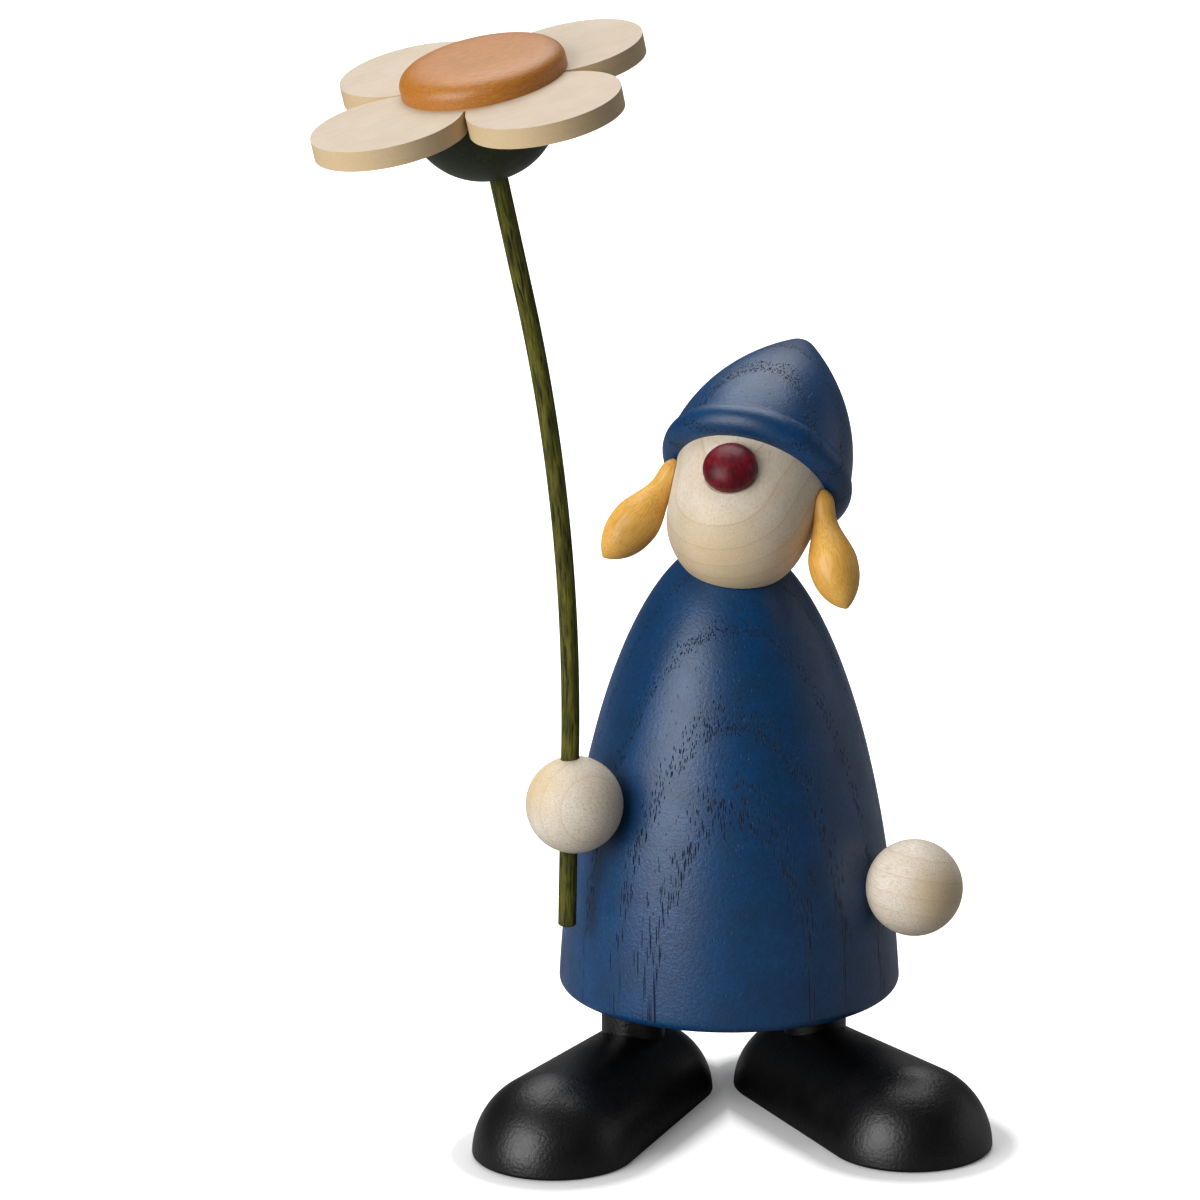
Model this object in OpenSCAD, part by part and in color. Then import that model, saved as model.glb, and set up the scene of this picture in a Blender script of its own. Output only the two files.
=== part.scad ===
// Turned wooden figure in a pointed hat that looks up and holds out a flower.
// Millimetres. The ground is z = 0, the body's axis is the Z axis and the front faces -Y.
// Left and right are the figure's own sides, so left is +X.

/* [Shoes and legs] */
// Radius of the toe end of a shoe
toe_r = 12.8; // [10:0.1:16]
// Radius of the heel end of a shoe
heel_r = 11.3; // [9:0.1:12.5]
// Distance from the heel's centre to the toe's centre
shoe_l = 31.3; // [24:0.1:40]
// Half the distance between the heel centres
heel_x = 13; // [12.8:0.1:16]
// How far the heel centres lie behind the body's axis
heel_back = 2.7; // [0:0.1:5]
// How far the pair of feet stands to the right of the body's axis
feet_shift = 0.7; // [0:0.1:2]
// Angle by which the left toe turns out
toe_out_left = 25; // [10:1:35]
// Angle by which the right toe turns out
toe_out_right = 29.5; // [10:0.5:35]
// Diameter of a leg
leg_d = 10; // [6:0.5:12]
// How far a leg stands in front of its heel's centre
leg_ahead = 3; // [0:0.1:6]
// Wood left under a leg in its shoe
sole_t = 3.5; // [2:0.5:6]
// Depth of a leg's socket in the body
leg_socket = 10; // [6:0.5:14]

/* [Body] */
// Widest radius of the tall dome
dome_r = 27.2; // [22:0.1:33]
// Height of the dome's ellipse above its middle
dome_h = 86; // [71:0.5:104]
// Height of the ellipse's middle above the ground
dome_z = 4.8; // [0:0.1:10]
// Height of the body's underside above the ground
base_z = 18.9; // [15:0.1:23]
// Rounding of the body's lower edge
base_round = 1.4; // [0.5:0.1:3]
// Radius of the flat on the crown, under the head
crown_r = 6.3; // [5:0.1:8]

/* [Hands] */
// Diameter of a hand
hand_d = 15; // [12:0.1:18]
// Angle from the front to each hand, seen from above
hand_angle = 59.3; // [50:0.1:80]
// Height at which the right hand meets the body
hand_right_z = 51.5; // [42:0.1:60]
// Height at which the left hand meets the body
hand_left_z = 37.6; // [34:0.1:60]
// Diameter of the flat on a hand
hand_flat_d = 6; // [5:0.1:8]
// Depth of a hand's seat in the body
hand_seat_t = 0.35; // [0.3:0.05:1]
// Gap round a hand at the rim of its seat
hand_seat_gap = 0.1; // [0.05:0.05:0.4]
// Diameter of a hand's peg
hand_peg_d = 4; // [3:0.1:4.8]
// Length of the peg inside the hand
hand_peg_in = 4; // [2:0.1:4.5]
// Length of the peg inside the body
hand_peg_out = 10; // [6:0.5:12]

/* [Head] */
// Radius of the ball at the chin
head_r = 11.1; // [9.2:0.1:13.4]
// Radius of the head where the hat begins
head_top_r = 12.2; // [11:0.1:13.5]
// Height of the hat's seat above the chin ball's centre, along the head
head_top = 7; // [6:0.1:9]
// How far the chin ball's centre lies to the left of the body's axis
head_left = 1.1; // [0:0.1:3]
// How far the chin ball's centre lies in front of the body's axis
head_front = 4.1; // [0:0.1:5]
// Height of the chin ball's centre above the crown
head_rise = 5.9; // [5:0.1:7]
// Angle by which the head leans back
head_lean = 49; // [0:1:55]
// Direction that the leaning head faces, to the right of the front
head_facing = 28.2; // [0:0.1:45]
// Turn of the face about the leaning head's own axis
face_spin = 10.7; // [0:0.1:20]
// Gap between the head's hollow and the body's crown
head_gap = 0.3; // [0.2:0.05:0.6]
// Diameter of the neck dowel
neck_d = 6; // [4:0.1:7.2]
// Length of the neck dowel inside the body
neck_in = 12; // [8:0.5:20]
// Length of the neck dowel inside the head
neck_out = 5; // [4:0.1:5.4]
// Running clearance all round the neck dowel in the head
neck_clear = 0.05; // [0.02:0.01:0.1]
// Space over the end of the neck dowel
neck_end = 0.4; // [0.3:0.1:1]

/* [Nose] */
// Diameter of the nose
nose_d = 8.4; // [7:0.1:10]
// Half the length of the nose's egg shape
nose_l = 2.9; // [2.6:0.1:4]
// Distance from the head's axis to the flat that the nose sits on
nose_seat = 10.4; // [10:0.1:10.8]
// Depth of the flat below the nose's widest ring
nose_sunk = 1.4; // [0.5:0.1:2]
// Height of the nose above the chin ball's centre, along the head
nose_t = 1.4; // [0:0.1:3]
// Turn of the nose about the head's axis, from midway between the braids
nose_turn = -4; // [-8:0.5:8]
// Diameter of the nose's peg
nose_peg_d = 3.2; // [2.5:0.1:4]
// Length of the nose's peg
nose_peg_l = 4.5; // [3:0.1:5]

/* [Hat] */
// Radius of the hat at its rolled brim
hat_r = 15.2; // [14.6:0.1:18]
// Height at which the crown's curve would come to a point
hat_h = 29; // [24:0.1:35]
// Height at which the crown's curve turns into the round tip
hat_tip_t = 26.8; // [20:0.1:28]
// Radius of the brim's roll
brim_r = 2.7; // [2:0.1:3]
// Step from the brim in to the crown
brim_step = 0.45; // [0.3:0.05:1]
// How full the crown's curve is
hat_fullness = 2.2; // [1.6:0.1:3]
// Diameter of the dowel between the hat and the head
hat_dowel_d = 5; // [3:0.1:5.5]
// Length of that dowel inside the head
hat_dowel_in = 3.2; // [2:0.1:3.6]
// Length of that dowel inside the hat
hat_dowel_out = 9; // [6:0.5:12]

/* [Braids] */
// Length of a braid
braid_l = 18.9; // [15:0.1:24]
// Radius of a braid at its fullest
braid_r = 3.8; // [3:0.1:4.4]
// Radius of a braid's neck
braid_neck_r = 1.75; // [1.4:0.05:2]
// Diameter of a braid's peg
braid_peg_d = 1.6; // [1.2:0.1:2]
// Length of a braid's peg from the braid's middle into the head
braid_peg_l = 6; // [4:0.1:7]
// Distance from the head's axis to a braid's upper end
braid_out = 12; // [11:0.1:14]
// Drop of a braid's upper end below the hat
braid_drop = 0.5; // [0.4:0.1:2]
// Angle from the face round to each braid
braid_angle = 76; // [70:1:100]
// Layer of glue between a braid and the head that it is fitted to
braid_gap = 0.1; // [0.05:0.05:0.3]
// Angle by which the line from a braid's upper end to its tip spreads from the head
braid_splay = 18.5; // [12:0.5:30]
// Angle by which a braid swings towards the back of the head
braid_swing = 31; // [0:0.5:45]
// Bend of a braid over its length
braid_curl = 18; // [4:1:45]

/* [Flower stem] */
// Diameter of the cane stem
stem_d = 2.8; // [2:0.1:3.6]
// Running clearance all round the stem in the hand
stem_clear = 0.06; // [0.02:0.01:0.1]
// How far the stem's hole lies outside the hand's centre
stem_off = 0.8; // [0:0.1:1]
// Lean of the stem's hole towards the figure's left
stem_tilt = 1.4; // [0:0.1:5]
// Length of the stem below the hand's centre
stem_low = 19.3; // [9:0.1:24]
// Length of the straight stem above the hand's centre
stem_straight = 8.3; // [8:0.1:14]
// Radius of the stem's bend
bend_r = 264; // [200:1:400]
// Angle of the stem's bend
bend_angle = 15.7; // [4:0.1:20]
// Direction of the bend, from the figure's left, seen from above
bend_dir = -146.5; // [-180:0.5:180]
// Length of the straight stem between its bend and the flower
stem_top = 19.5; // [8:0.1:30]

/* [Flower] */
// Radius of the half ball under the petals
calyx_r = 11.4; // [9:0.1:13]
// Thickness of the petal plate
petal_t = 3; // [2:0.1:4]
// Number of petals
petal_n = 4; // [3:1:5]
// Radius of a petal
petal_r = 11.4; // [9:0.1:13]
// Distance from the flower's middle to a petal's centre
petal_out = 16.4; // [13:0.1:20]
// Turn of the petals about the stem
petal_spin = 88.6; // [0:0.1:90]
// Radius of the flower's centre
centre_r = 12.4; // [10:0.1:15]
// Thickness of the flower's centre
centre_t = 4; // [3.2:0.1:6]
// Rounding of the centre's upper edge
centre_round = 2.4; // [0.5:0.1:3]
// How far the centre sits off the stem's axis
centre_off = 1.7; // [0:0.1:2]
// Direction in which it sits off
centre_dir = 198; // [0:1:360]
// Length of the stem's end inside the centre
stem_end = 2.6; // [2:0.1:3]

/* [Hidden] */
$fn = 96;
// Points along a turned curve, and along a round end
curve_steps = 36;
arc_steps = 18;
// Steps round the body's lower edge
edge_steps = 6;
// Rings along a braid and points round each ring
braid_rings = 22;
braid_sides = 24;
// Shares of a braid's length: at its peg, where its round upper end is done, where it starts to
// swell and where it is fullest
braid_peg_at = 0.27;
braid_cap_at = 0.12;
braid_swell_at = 0.2;
braid_full_at = 0.61;
// Share of the round upper end that is left off, for a small flat
braid_cap_flat = 0.1;
// Powers that shape a braid's tip, and the power that crowds its rings towards the tip
braid_tip_full = 2.4;
braid_tip_blunt = 0.8;
braid_crowd = 1.3;
// How far the stem's bend runs into the straight lengths, in degrees, and how much slimmer it is
bend_lap = 0.1;
bend_slim = 0.03;

stained_blue = "#24507f";
pale_maple = "#e2d2b6";
black_paint = "#1c1c1e";
wine_red = "#6d2234";
honey = "#cf9a4b";
cane_green = "#54561f";
dark_green = "#1d2a23";
amber = "#bf6f2c";

// The dome's surface at an angle from its middle, moved out square to itself
function dome_phi(z) = asin((z - dome_z)/dome_h);
function dome_normal(phi) = let (n = [cos(phi)/dome_r, sin(phi)/dome_h]) n/norm(n);
function dome_at(phi, out = 0) =
    [dome_r*cos(phi), dome_z + dome_h*sin(phi)] + out*dome_normal(phi);

base_phi = dome_phi(base_z + base_round);
crown_phi = acos(crown_r/dome_r);
crown_z = dome_at(crown_phi)[1];
head_z = crown_z + head_rise;
leg_top = base_z + leg_socket;

// A hand's centre stands on its seat, square to the dome
hand_flat = sqrt(pow(hand_d/2, 2) - pow(hand_flat_d/2, 2));
hand_out = hand_flat - hand_seat_t;
hand_seat_r = sqrt(pow(hand_d/2, 2) - pow(hand_out, 2)) + hand_seat_gap;

// The hat's crown at a height above its seat, how steeply it narrows there, and the ball of its tip
crown_width = hat_r - brim_step;
function hat_radius(t) = crown_width*(1 - pow(t/hat_h, hat_fullness));
function hat_taper(t) = crown_width*hat_fullness/hat_h*pow(t/hat_h, hat_fullness - 1);
hat_tip_r = hat_radius(hat_tip_t)*norm([1, hat_taper(hat_tip_t)]);
hat_tip_z = hat_tip_t - hat_radius(hat_tip_t)*hat_taper(hat_tip_t);

braid_bend_r = braid_l/(braid_curl*PI/180);

// The flower's pieces stack on the top of the calyx
flower_stack = calyx_r + petal_t;

// Each piece's own place

module at_shoe(side) {
    translate([side*heel_x - feet_shift, heel_back, 0])
        rotate([0, 0, side > 0 ? toe_out_left : -toe_out_right])
            children();
}

module at_hand(side, seat_z) {
    phi = dome_phi(seat_z);
    normal = dome_normal(phi);
    seat = dome_at(phi, hand_out);
    rotate([0, 0, side*hand_angle - 90])
        translate([seat[0], 0, seat[1]])
            rotate([0, 90 - atan2(normal[1], normal[0]), 0])
                children();
}

module at_head() {
    translate([head_left, -head_front, head_z])
        rotate([0, 0, -head_facing])
            rotate([-head_lean, 0, 0])
                rotate([0, 0, face_spin])
                    children();
}

module at_nose() {
    at_head()
        translate([0, 0, nose_t])
            rotate([90, 0, nose_turn])
                translate([0, 0, nose_seat])
                    children();
}

module at_braid(side) {
    at_head()
        mirror([side < 0 ? 1 : 0, 0, 0])
            rotate([0, 0, braid_angle - 90])
                translate([braid_out, 0, head_top - braid_drop])
                    rotate([braid_swing, 0, 0])
                        rotate([0, braid_curl/2 - braid_splay, 0])
                            rotate([180, 0, 0])
                                children();
}

module at_stem() {
    phi = dome_phi(hand_right_z);
    hand = dome_at(phi, hand_out);
    translate([-hand[0]*sin(hand_angle) - stem_off, -hand[0]*cos(hand_angle), hand[1]])
        rotate([0, stem_tilt, 0])
            rotate([0, 0, bend_dir])
                children();
}

module at_stem_top() {
    at_stem()
        translate([bend_r*(1 - cos(bend_angle)), 0, stem_straight + bend_r*sin(bend_angle)])
            rotate([0, bend_angle, 0])
                children();
}

module at_flower() {
    at_stem_top()
        translate([0, 0, stem_top])
            children();
}

// Shoes and legs

module shoe_outline() {
    // Heel and toe arcs on one side of the shoe's axis, joined by their common tangent
    lean = asin((toe_r - heel_r)/shoe_l);
    heel = [for (i = [0:arc_steps])
        let (a = -90 + (90 - lean)*i/arc_steps)
        heel_r*[cos(a), sin(a)]];
    toe = [for (i = [0:arc_steps])
        let (a = -lean + (90 + lean)*i/arc_steps)
        [0, shoe_l] + toe_r*[max(cos(a), 0), sin(a)]];
    polygon(concat(heel, toe));
}

module shoe_leg(side) {
    at_shoe(side)
        translate([0, -leg_ahead, sole_t])
            cylinder(d = leg_d, h = leg_top - sole_t);
}

module shoe(side) {
    color(black_paint)
        difference() {
            at_shoe(side)
                intersection() {
                    rotate([90, 0, 0])
                        rotate_extrude()
                            shoe_outline();
                    translate([-toe_r, -shoe_l - toe_r, 0])
                        cube([2*toe_r, heel_r + shoe_l + toe_r, toe_r]);
                }
            shoe_leg(side);
        }
}

module leg(side) {
    color(black_paint)
        shoe_leg(side);
}

module shoe_left() {
    shoe(1);
}

module shoe_right() {
    shoe(-1);
}

module leg_left() {
    leg(1);
}

module leg_right() {
    leg(-1);
}

// Body

module dome(out = 0) {
    corner = dome_at(base_phi)[0] - base_round;
    lower = out == 0
        ? [for (i = [0:edge_steps - 1])
            let (a = -90 + 90*i/edge_steps)
            [corner, base_z + base_round] + base_round*[cos(a), sin(a)]]
        : [[dome_at(base_phi, out)[0], base_z]];
    side = [for (i = [0:curve_steps])
        dome_at(base_phi + (crown_phi - base_phi)*i/curve_steps, out)];
    top = out == 0 ? [] : [[crown_r, crown_z + out]];
    rotate_extrude()
        polygon(concat([[0, base_z]], lower, side, top, [[0, crown_z + out]]));
}

module body() {
    color(stained_blue)
        difference() {
            dome();
            shoe_leg(1);
            shoe_leg(-1);
            neck(0, 0);
            hand_seat(1, hand_left_z);
            hand_seat(-1, hand_right_z);
        }
}

// Hands

module hand_peg(side, seat_z) {
    at_hand(side, seat_z)
        translate([0, 0, -hand_flat - hand_peg_out])
            cylinder(d = hand_peg_d, h = hand_peg_out + hand_peg_in);
}

module hand_seat(side, seat_z) {
    hand_peg(side, seat_z);
    at_hand(side, seat_z)
        translate([0, 0, -hand_flat])
            cylinder(r = hand_seat_r, h = hand_flat);
}

module hand_ball(side, seat_z) {
    difference() {
        at_hand(side, seat_z)
            intersection() {
                sphere(d = hand_d);
                translate([-hand_d/2, -hand_d/2, -hand_flat])
                    cube([hand_d, hand_d, hand_flat + hand_d/2]);
            }
        hand_peg(side, seat_z);
    }
}

module hand_peg_left() {
    color(pale_maple)
        hand_peg(1, hand_left_z);
}

module hand_peg_right() {
    color(pale_maple)
        hand_peg(-1, hand_right_z);
}

module hand_left() {
    color(pale_maple)
        hand_ball(1, hand_left_z);
}

module hand_right() {
    color(pale_maple)
        difference() {
            hand_ball(-1, hand_right_z);
            at_stem()
                translate([0, 0, -hand_d])
                    cylinder(d = stem_d + 2*stem_clear, h = 2*hand_d);
        }
}

// Head

module neck(clear, end) {
    translate([0, 0, crown_z - neck_in])
        cylinder(r = neck_d/2 + clear, h = neck_in + neck_out + end);
}

module neck_dowel() {
    color(pale_maple)
        neck(0, 0);
}

module head_form(out = 0) {
    // A ball whose sides run straight up to the hat's seat, grown by a layer
    reach = norm([head_top_r, head_top]);
    touch = atan2(head_top, head_top_r) - acos(head_r/reach);
    top_r = head_top_r + out/cos(touch);
    at_head()
        rotate_extrude()
            intersection() {
                union() {
                    circle(head_r + out);
                    polygon([
                        [0, head_r*sin(touch)],
                        (head_r + out)*[cos(touch), sin(touch)],
                        [top_r, head_top],
                        [0, head_top]
                    ]);
                }
                translate([0, -head_r - out])
                    square([top_r, head_r + out + head_top]);
            }
}

module head() {
    color(pale_maple)
        difference() {
            head_form();
            dome(head_gap);
            neck(neck_clear, neck_end);
            hat_peg();
            for (side = [1, -1])
                braid_peg(side);
            at_nose() {
                cylinder(d = nose_d, h = nose_d);
                nose_peg();
            }
        }
}

// Nose

module nose_peg() {
    translate([0, 0, -nose_peg_l])
        cylinder(d = nose_peg_d, h = nose_peg_l);
}

module nose() {
    low = -asin(nose_sunk/nose_l);
    egg = [for (i = [0:curve_steps])
        let (a = low + (90 - low)*i/curve_steps)
        [max(nose_d/2*cos(a), 0), nose_sunk + nose_l*sin(a)]];
    color(wine_red)
        at_nose() {
            rotate_extrude()
                polygon(concat([[0, 0]], egg));
            nose_peg();
        }
}

// Hat

module hat_peg() {
    at_head()
        translate([0, 0, head_top - hat_dowel_in])
            cylinder(d = hat_dowel_d, h = hat_dowel_in + hat_dowel_out);
}

module hat_dowel() {
    color(pale_maple)
        hat_peg();
}

module hat_outline() {
    side = [for (i = [0:curve_steps])
        let (t = brim_r + (hat_tip_t - brim_r)*i/curve_steps)
        [hat_radius(t), t]];
    intersection() {
        union() {
            translate([hat_r - brim_r, brim_r])
                circle(brim_r);
            square([hat_r - brim_r, brim_r]);
            polygon(concat([[0, brim_r]], side, [[0, hat_tip_t]]));
            translate([0, hat_tip_z])
                circle(hat_tip_r);
        }
        square([hat_r, hat_h]);
    }
}

module hat() {
    color(stained_blue)
        difference() {
            at_head()
                translate([0, 0, head_top])
                    rotate_extrude()
                        hat_outline();
            hat_peg();
        }
}

// Braids

function braid_swell(x) = x*x*(3 - 2*x);
function braid_cap(x) = sqrt(1 - pow((1 - braid_cap_flat)*(1 - x), 2));
function braid_radius(u) = u < braid_cap_at
    ? braid_neck_r*braid_cap(u/braid_cap_at)
    : u < braid_swell_at
    ? braid_neck_r
    : u < braid_full_at
    ? braid_neck_r + (braid_r - braid_neck_r)
        *braid_swell((u - braid_swell_at)/(braid_full_at - braid_swell_at))
    : braid_r*pow(1 - pow((u - braid_full_at)/(1 - braid_full_at), braid_tip_full), braid_tip_blunt);

module braid_peg(side) {
    a = braid_curl*braid_peg_at;
    at_braid(side)
        translate(braid_bend_r*[1 - cos(a), 0, sin(a)])
            rotate([0, -90, 0])
                cylinder(d = braid_peg_d, h = braid_peg_l);
}

module braid_form() {
    // Rings along an arc that bends away from the head, closed to a point at the tip
    rings = [for (i = [0:braid_rings - 1])
        let (u = 1 - pow(1 - i/braid_rings, braid_crowd), a = braid_curl*u, r = braid_radius(u))
        [for (j = [0:braid_sides - 1])
            let (b = 360*j/braid_sides, x = r*cos(b))
            [braid_bend_r*(1 - cos(a)) + x*cos(a), r*sin(b), braid_bend_r*sin(a) - x*sin(a)]]];
    tip = [braid_bend_r*(1 - cos(braid_curl)), 0, braid_bend_r*sin(braid_curl)];
    last = (braid_rings - 1)*braid_sides;
    sides = [for (i = [0:braid_rings - 2], j = [0:braid_sides - 1])
        let (a = i*braid_sides + j, b = i*braid_sides + (j + 1)%braid_sides)
        each [[a, a + braid_sides, b + braid_sides], [a, b + braid_sides, b]]];
    end = [for (j = [0:braid_sides - 1])
        [last + j, last + braid_sides, last + (j + 1)%braid_sides]];
    start = [[for (j = [0:braid_sides - 1]) j]];
    polyhedron(concat([for (ring = rings) each ring], [tip]), concat(start, sides, end));
}

module braid(side) {
    color(honey)
        union() {
            difference() {
                at_braid(side)
                    braid_form();
                head_form(braid_gap);
            }
            braid_peg(side);
        }
}

module braid_left() {
    braid(1);
}

module braid_right() {
    braid(-1);
}

// Flower

module flower_stem() {
    // The bent length is a hair slimmer, so that it ends inside both straight lengths
    color(cane_green) {
        at_stem()
            translate([0, 0, -stem_low])
                cylinder(d = stem_d, h = stem_low + stem_straight);
        at_stem()
            translate([bend_r, 0, stem_straight])
                rotate([90, bend_lap, 180])
                    rotate_extrude(angle = bend_angle + 2*bend_lap)
                        translate([bend_r, 0])
                            circle(d = stem_d - bend_slim);
        at_stem_top()
            cylinder(d = stem_d, h = stem_top + flower_stack + stem_end);
    }
}

module stem_hole() {
    cylinder(d = stem_d, h = flower_stack + stem_end);
}

module calyx() {
    color(dark_green)
        at_flower()
            difference() {
                intersection() {
                    translate([0, 0, calyx_r])
                        sphere(r = calyx_r);
                    translate([-calyx_r, -calyx_r, -calyx_r])
                        cube([2*calyx_r, 2*calyx_r, 2*calyx_r]);
                }
                translate([0, 0, -calyx_r])
                    cylinder(d = stem_d, h = 3*calyx_r);
            }
}

module petal_plate() {
    color(pale_maple)
        at_flower()
            difference() {
                translate([0, 0, calyx_r])
                    linear_extrude(petal_t) {
                        circle(calyx_r);
                        for (i = [0:petal_n - 1])
                            rotate(petal_spin + 360*i/petal_n)
                                translate([petal_out, 0])
                                    circle(petal_r);
                    }
                stem_hole();
            }
}

module centre_outline() {
    intersection() {
        union() {
            square([centre_r, centre_t - centre_round]);
            square([centre_r - centre_round, centre_t]);
            translate([centre_r - centre_round, centre_t - centre_round])
                circle(centre_round);
        }
        square([centre_r, centre_t]);
    }
}

module flower_centre() {
    color(amber)
        at_flower()
            difference() {
                translate([centre_off*cos(centre_dir), centre_off*sin(centre_dir), flower_stack])
                    rotate_extrude()
                        centre_outline();
                stem_hole();
            }
}

shoe_left();
shoe_right();
leg_left();
leg_right();
body();
hand_peg_left();
hand_peg_right();
hand_left();
hand_right();
neck_dowel();
head();
nose();
hat_dowel();
hat();
braid_left();
braid_right();
flower_stem();
calyx();
petal_plate();
flower_centre();
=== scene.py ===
from math import acos, asin, atan2, cos, hypot, pi, radians, sin, sqrt

import bpy
from mathutils import Matrix, Quaternion, Vector


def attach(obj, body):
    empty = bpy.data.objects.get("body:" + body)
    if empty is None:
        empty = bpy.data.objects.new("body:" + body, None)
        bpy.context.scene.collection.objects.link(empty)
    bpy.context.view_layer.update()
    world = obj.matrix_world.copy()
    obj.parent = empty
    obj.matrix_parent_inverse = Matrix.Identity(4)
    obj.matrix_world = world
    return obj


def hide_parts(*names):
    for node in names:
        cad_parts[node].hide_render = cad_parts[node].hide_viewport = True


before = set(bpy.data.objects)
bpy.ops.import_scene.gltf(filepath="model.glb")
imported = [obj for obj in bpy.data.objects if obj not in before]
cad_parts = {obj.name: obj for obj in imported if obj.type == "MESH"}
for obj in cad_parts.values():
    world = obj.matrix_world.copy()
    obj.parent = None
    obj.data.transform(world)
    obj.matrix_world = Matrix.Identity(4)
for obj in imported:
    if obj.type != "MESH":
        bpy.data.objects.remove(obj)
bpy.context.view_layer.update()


# Shoes: each is a turned wooden form, slim at the heel and full at the toe, sawn in half along its
# length for a flat sole. They are sprayed with satin black paint, which dries with a fine
# orange-peel skin that breaks up the highlights.

MM = 0.001
HEEL_R, TOE_R, SHOE_L, SHOE_SIDES = 11.3, 12.8, 31.3, 144
HEEL_X, HEEL_BACK, FEET_SHIFT = 13.0, 2.7, 0.7
HEEL_AT = {"left": Vector((HEEL_X - FEET_SHIFT, HEEL_BACK, 0))*MM,
           "right": Vector((-HEEL_X - FEET_SHIFT, HEEL_BACK, 0))*MM}
TOE_OUT = {"left": 25.0, "right": -29.5}
SOLE_EASE, EASE_STEPS, FLAT = 0.6, 3, 0.9
PAINT_SKIN, PAINT_SKIN_DEPTH, PAINT_DUST = 0.55, 0.06, 6
EVEN = radians(38)


def linear(hex_colour):
    """An sRGB hex colour as linear red, green, blue and alpha."""
    parts = [int(hex_colour[i:i + 2], 16)/255 for i in (1, 3, 5)]
    return [c/12.92 if c <= 0.04045 else ((c + 0.055)/1.055)**2.4 for c in parts] + [1.0]


def add_node(material, kind, sockets=None, **settings):
    """Add a node with its settings. A socket takes a value, a node or a (node, output) pair."""
    node = material.node_tree.nodes.new(kind)
    for key, value in settings.items():
        setattr(node, key, value)
    for key, value in (sockets or {}).items():
        if isinstance(value, bpy.types.Node):
            value = (value, 0)
        if isinstance(value, tuple) and isinstance(value[0], bpy.types.Node):
            material.node_tree.links.new(value[0].outputs[value[1]], node.inputs[key])
        else:
            node.inputs[key].default_value = value
    return node


def new_material(name):
    """An empty node material with its output."""
    material = bpy.data.materials.new(name)
    material.use_nodes = True
    material.node_tree.nodes.clear()
    return material, add_node(material, "ShaderNodeOutputMaterial")


def close_surface(material, output, sockets):
    """Put one Principled surface with these sockets on the material's output."""
    surface = add_node(material, "ShaderNodeBsdfPrincipled", sockets)
    material.node_tree.links.new(surface.outputs[0], output.inputs["Surface"])


def paint(piece, material):
    """Give a piece, or a CAD node's object, this one material."""
    piece.data.materials.clear()
    piece.data.materials.append(material)


def pick(piece):
    """Select this piece alone and make it the active one."""
    bpy.ops.object.select_all(action="DESELECT")
    piece.select_set(True)
    bpy.context.view_layer.objects.active = piece


def settle(piece, place, even=EVEN):
    """Leave edit mode, put the piece in its place and leave its object at the origin. Edges that
    turn by less than an angle are shaded smooth."""
    bpy.ops.object.mode_set(mode="OBJECT")
    piece.matrix_world = place
    pick(piece)
    bpy.ops.object.transform_apply(location=True, rotation=True, scale=True)
    bpy.ops.object.shade_smooth_by_angle(angle=even)


def stand_for(piece, node, body, material):
    """Finish a piece: its material, the CAD node it stands for, the body it rides on."""
    paint(piece, material)
    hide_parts(node)
    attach(piece, body)


def ease_edges(piece, flat, width):
    """Round the edges of the flat faces, which a test of their normal's Z picks out."""
    bpy.ops.mesh.select_all(action="DESELECT")
    bpy.ops.object.mode_set(mode="OBJECT")
    for face in piece.data.polygons:
        face.select = flat(face.normal.z)
    bpy.ops.object.mode_set(mode="EDIT")
    bpy.ops.mesh.select_mode(type="FACE")
    bpy.ops.mesh.region_to_loop()
    bpy.ops.mesh.bevel(offset=width*MM, segments=EASE_STEPS, affect="EDGES")
    bpy.ops.mesh.select_all(action="SELECT")
    bpy.ops.mesh.normals_make_consistent(inside=False)


# Satin black paint on wood: a dark film, broad soft highlights and a skin of low bumps about
# 0.5 mm apart.
black_paint, output = new_material("satin_black_paint")
place = add_node(black_paint, "ShaderNodeTexCoord")
skin = add_node(black_paint, "ShaderNodeTexNoise", {
    "Vector": (place, "Object"), "Scale": 1/(PAINT_SKIN*MM), "Detail": 2.0, "Roughness": 0.45})
dust = add_node(black_paint, "ShaderNodeTexNoise", {
    "Vector": (place, "Object"), "Scale": 1/(PAINT_DUST*MM), "Detail": 3.0})
film = add_node(black_paint, "ShaderNodeMix", {
    "Factor": dust, "A": linear("#020203"), "B": linear("#070709")}, data_type="RGBA")
gloss = add_node(black_paint, "ShaderNodeMapRange", {
    "Value": dust, "From Min": 0.3, "From Max": 0.7, "To Min": 0.34, "To Max": 0.44})
bumps = add_node(black_paint, "ShaderNodeBump", {
    "Height": skin, "Strength": 1.0, "Distance": PAINT_SKIN_DEPTH*MM})
close_surface(black_paint, output, {
    "Base Color": (film, "Result"), "Roughness": gloss, "Normal": bumps, "IOR": 1.5})

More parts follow.
